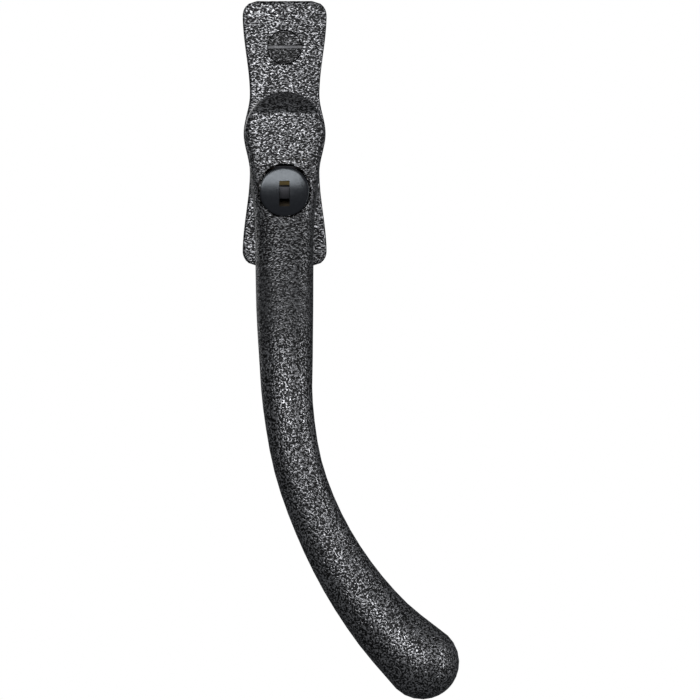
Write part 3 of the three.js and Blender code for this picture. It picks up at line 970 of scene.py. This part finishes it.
lock = {
    "barrelRadius": 6.15,
    "barrelBore": 4.4,
    "barrelBack": 16.6,
    "barrelFront": 24.9,
    "barrelEdge": 0.25,
    "barrelFloor": 0.7,
    "boltSeat": 1.3,
    "latchSlot": (2.7, 3),
    "latchSlotDown": 5.2,
    "stopFlat": (14, 2),
    "stopFlatSpan": (-1, 4.5),
    "stopFlatUp": 6.15,
    "waferGroove": (4.8, 20.15, 20.85),
    "plugRadius": 4.2,
    "plugBack": 19.5,
    "plugFront": 25.1,
    "flangeRadius": 5.45,
    "flangeBack": 25.05,
    "flangeFront": 26.2,
    "flangeEdge": 0.15,
    "keywayWide": 2.6,
    "keywayTop": 1.6,
    "keywayBottom": -3.7,
    "keywayBack": 20.0,
    "waferLevels": (20.5, 21.4, 22.3),
    "waferSlot": (3.9, 12),
    "waferHalf": 0.3,
    "latchAt": 18.4,
    "latchHalf": 0.8,
    "stopPinAt": 18.6,
    "crank": 1.6,
    "crankRadius": 0.6,
    "pivot": (0.42, -2.4, 2.4),
}


def addKeySlot(top, back):
    low = lock["keywayBottom"]
    middle = lockZ + (top + low) / 2
    return addBox("keySlot", lock["keywayWide"], top - low, back, clearOut, z=middle)


def buildBarrel():
    back, front = lock["barrelBack"], lock["barrelFront"]
    piece = addBar("lockBarrel", lock["barrelRadius"], back, front, z=lockZ, sides=128)
    bevelEdges(piece, rim(back), lock["barrelEdge"], 2)
    floor = back + lock["barrelFloor"]
    combine(piece, addBar("bore", lock["barrelBore"], floor, clearOut, z=lockZ))
    combine(piece, addBar("boltSeat", lock["boltSeat"], back - 1, back + 1, z=lockZ, sides=32))
    near, far = (lock["latchAt"] + side * lock["latchHalf"] for side in (-1, 1))
    latchZ = lockZ - lock["latchSlotDown"]
    combine(piece, addBox("latchSlot", *lock["latchSlot"], near, far, z=latchZ))
    near, far = (lock["stopPinAt"] + span for span in lock["stopFlatSpan"])
    stopZ = lockZ + lock["stopFlatUp"]
    combine(piece, addBox("stopFlat", *lock["stopFlat"], near, far, z=stopZ))
    radius, near, far = lock["waferGroove"]
    groove = addBar("waferGroove", radius, near, far, z=lockZ)
    combine(groove, addBar("core", lock["barrelBore"] - 1, near - 1, far + 1, z=lockZ))
    return combine(piece, groove)


def buildPlug():
    back = lock["plugBack"]
    piece = addBar("keyPlug", lock["plugRadius"], back, lock["plugFront"], z=lockZ)
    near, far = lock["flangeBack"], lock["flangeFront"]
    flange = addBar("flange", lock["flangeRadius"], near, far, z=lockZ)
    bevelEdges(flange, rim(far), lock["flangeEdge"], 2)
    combine(piece, flange, "UNION")
    near, far, crankZ = lock["latchAt"] - lock["latchHalf"], back + 0.5, lockZ - lock["crank"]
    crank = addBar("crank", lock["crankRadius"], near, far, z=crankZ, sides=24)
    combine(piece, crank, "UNION")
    combine(piece, addKeySlot(lock["keywayTop"], lock["keywayBack"]))
    half = lock["waferHalf"]
    for out in lock["waferLevels"]:
        combine(piece, addBox("waferSlot", *lock["waferSlot"], out - half, out + half, z=lockZ))
    pivot = addCrossBar("pivot", *lock["pivot"], -shutterAt[1] / mm, shutterAt[2] / mm)
    return combine(piece, pivot)


finishPiece(buildBarrel(), "lock_barrel", brass)
finishPiece(buildPlug(), "key_plug", agedBrass)
print("lock made")

shutter = {"wide": 2.4, "thick": 0.4, "bottom": -1.85, "edge": 0.1, "pin": (0.3, -2.2, 2.2)}


def buildShutter():
    out, top = -shutterAt[1] / mm, shutterAt[2] / mm
    low, edge = lockZ + shutter["bottom"], shutter["edge"]
    near, far = out - shutter["thick"] / 2, out + shutter["thick"] / 2
    middle = (top + low) / 2
    piece = addBox("keyholeShutter", shutter["wide"], top - low, near, far, z=middle)
    lowEnd = (low + edge) * mm
    bevelEdges(piece, lambda side: all(vert.co.z < lowEnd for vert in side.verts), edge, 2)
    pin = addCrossBar("pivotPin", *shutter["pin"], out, top, 20)
    return combine(piece, pin, "UNION")


finishPiece(buildShutter(), "keyhole_shutter", shutterSteel)

cap = {
    "radius": 6.2,
    "back": 25.1,
    "front": 26.8,
    "dome": 0.5,
    "domeRings": 7,
    "slotTop": 2.65,
    "edge": 0.28,
    "inside": (5.55, 20, 26.25),
    "cutBack": 20,
}


def buildCap():
    faceOut = cap["front"] - cap["dome"]
    piece = addBar("lockCap", cap["radius"], cap["back"], faceOut, z=lockZ, sides=128)
    faceY = -faceOut * mm
    editSelect(piece, "faces", lambda face: abs(face.calc_center_median().y - faceY) < hair)
    for _ in range(cap["domeRings"]):
        bpy.ops.mesh.inset(thickness=cap["radius"] / (cap["domeRings"] + 1) * mm, depth=0)
    endEdit()
    bevelEdges(piece, rim(faceOut), cap["edge"], 4)
    for vert in piece.data.vertices:
        share = math.hypot(vert.co.x, vert.co.z - lockZ * mm) / (cap["radius"] * mm)
        if vert.co.y < faceY + cap["edge"] * mm + hair / 2:
            vert.co.y -= cap["dome"] * mm * (1 - share * share)
    combine(piece, addBar("inside", *cap["inside"], z=lockZ, sides=96))
    return combine(piece, addKeySlot(cap["slotTop"], cap["cutBack"]))


finishPiece(buildCap(), "plug_face_cap", capBlack, 40)
print("cap made")

springs = {
    "barrelCoil": 3.8,
    "barrelWire": 0.36,
    "barrelTurns": 3.5,
    "barrelFrom": 11.6,
    "barrelLength": 4.7,
    "barrelSeat": 11.35,
    "barrelKeep": 0.3,
    "latchCoil": 0.5,
    "latchWire": 0.2,
    "latchTurns": 4,
    "latchX": 0.4,
    "latchLength": 3.9,
    "latchTop": -10.5,
    "latchFoot": 0.05,
    "latchKeep": 0.65,
    "wireSides": 12,
    "turnSides": 28,
}


# A round wire wound up the Z axis, then turned and moved to its seat
def addCoil(name, coil, wire, turns, length, turned, seat):
    deselectAll()
    sides, radius = springs["wireSides"], wire / 2 * mm
    bpy.ops.mesh.primitive_circle_add(vertices=sides, radius=radius, rotation=(math.pi / 2, 0, 0))
    section = bpy.context.object
    section.location = (coil * mm, 0, 0)
    settle(name)
    wind = section.modifiers.new("wind", "SCREW")
    wind.axis = "Z"
    wind.angle = turns * 2 * math.pi
    wind.screw_offset = length * mm
    wind.steps = wind.render_steps = int(turns * springs["turnSides"])
    bpy.ops.object.modifier_apply(modifier=wind.name)
    editSelect(section, "edges", lambda edge: len(edge.link_faces) == 1)
    bpy.ops.mesh.edge_face_add()
    endEdit()
    section.rotation_euler = turned
    section.location = [part * mm for part in seat]
    pick(section)
    return tidyNormals(settle(name))


# the barrel's return spring and the latch spring, each with a mesh of its own
returnSpring = addCoil(
    "barrelReturnSpring",
    springs["barrelCoil"],
    springs["barrelWire"],
    springs["barrelTurns"],
    springs["barrelLength"],
    (math.pi / 2, 0, 0),
    (0, -springs["barrelFrom"], lockZ),
)
finishPiece(returnSpring, "barrel_return_spring", springSteel, 60)
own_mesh(returnSpring)
latchSpring = addCoil(
    "latchSpring",
    springs["latchCoil"],
    springs["latchWire"],
    springs["latchTurns"],
    springs["latchLength"],
    (0, 0, 0),
    (springs["latchX"], -lock["latchAt"], lockZ + springs["latchFoot"]),
)
finishPiece(latchSpring, "latch_spring", springSteel, 60)
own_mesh(latchSpring)
print("springs made")

# CAD nodes that keep their shape
nodeFinishes = {
    "journal_bush": acetal,
    "detent_spring_upper": springSteel,
    "detent_spring_lower": springSteel,
    "spindle_roll_pin": springSteel,
    "wave_washer": springSteel,
    "detent_cam": steel,
    "retaining_washer": steel,
    "retaining_circlip": springSteel,
    # the stop pin is painted near black, as the shade in the gap round the cap
    "barrel_stop_pin": blackSteel,
    "lock_bolt": steel,
    "barrel_latch": steel,
    "retaining_wafer": agedBrass,
    "wafer_1": agedBrass,
    "wafer_2": agedBrass,
}
for nodeName, material in nodeFinishes.items():
    wear(frame["nodes"][nodeName], material)

stage = {
    "floorSize": 12,
    "floorDrop": 0.12,
    "floorDark": (0.8, 0.8, 0.79, 1),
    "floorLight": (0.86, 0.86, 0.85, 1),
    "floorGlow": 0.55,
    "worldColour": (0.9, 0.95, 1.0, 1),
    "worldStrength": 0.095,
}

# each lamp's turn from the front, lift, distance, width, height and power
softboxes = {
    "keySoftbox": (-8, 14, 1.1, 0.8, 0.24, 8.2),
    "rightStrip": (62, 2, 1.2, 0.25, 0.9, 7.0),
    "backSoftbox": (205, 28, 1.1, 0.9, 0.9, 4.5),
}


def makeFloor():
    deselectAll()
    ground = (0, 0, cadLow.z - stage["floorDrop"])
    bpy.ops.mesh.primitive_plane_add(size=stage["floorSize"], location=ground)
    floor = settle("floor")
    material, tree, shader, place = newMaterial("paleFloor")
    speckle = noise(tree, place, 40.0, 3.0, 0.6)
    tone = mixColours(tree, speckle.outputs["Fac"], stage["floorDark"], stage["floorLight"])
    join(tree, tone, shader.inputs["Base Color"])
    shader.inputs["Roughness"].default_value = 0.9
    shader.inputs["Emission Color"].default_value = (1, 1, 1, 1)
    shader.inputs["Emission Strength"].default_value = stage["floorGlow"]
    wear(floor, material)
    floor.visible_glossy = False
    floor.visible_diffuse = False


def addSoftbox(name, azimuth, elevation, distance, width, height, watts, aim):
    turn, lift = math.radians(azimuth), math.radians(elevation)
    flat = math.cos(lift)
    back = Vector((math.sin(turn) * flat, -math.cos(turn) * flat, math.sin(lift)))
    data = bpy.data.lights.new(name, "AREA")
    data.shape = "RECTANGLE"
    data.size, data.size_y = width, height
    data.energy = watts
    lamp = bpy.data.objects.new(name, data)
    lamp.location = aim + back * distance
    lamp.rotation_euler = (-back).to_track_quat("-Z", "Y").to_euler()
    bpy.context.collection.objects.link(lamp)


def makeWorld():
    # white where the camera looks past the handle, dim as a light
    world = bpy.data.worlds.new("studio")
    world.use_nodes = True
    tree = world.node_tree
    dim = tree.nodes["Background"]
    dim.inputs["Color"].default_value = stage["worldColour"]
    dim.inputs["Strength"].default_value = stage["worldStrength"]
    white = addNode(tree, "ShaderNodeBackground", Color=(1, 1, 1, 1), Strength=1.0)
    seen = tree.nodes.new("ShaderNodeLightPath")
    either = tree.nodes.new("ShaderNodeMixShader")
    join(tree, seen.outputs["Is Camera Ray"], either.inputs[0])
    join(tree, dim.outputs[0], either.inputs[1])
    join(tree, white.outputs[0], either.inputs[2])
    join(tree, either.outputs[0], tree.nodes["World Output"].inputs["Surface"])
    bpy.context.scene.world = world


makeFloor()
makeWorld()
middle = (cadLow + cadHigh) / 2
for name, settings in softboxes.items():
    addSoftbox(name, *settings, middle)
bpy.context.scene.view_settings.view_transform = "Standard"

view = {
    "lens": 1500,
    "sensor": 36,
    "farthest": 40,
    "frameHeight": 0.1746,
    "centre": (0.01635, -0.05415),
    "frontPlane": 0.025,
}


def addCamera():
    data = bpy.data.cameras.new("camera")
    data.sensor_width = view["sensor"]
    data.lens = view["lens"]
    data.clip_end = view["farthest"]
    camera = bpy.data.objects.new("camera", data)
    back = view["frontPlane"] + view["frameHeight"] * view["lens"] / view["sensor"]
    camera.location = (view["centre"][0], -back, view["centre"][1])
    camera.rotation_euler = (math.pi / 2, 0, 0)
    bpy.context.collection.objects.link(camera)
    bpy.context.scene.camera = camera


addCamera()
print("stage made")
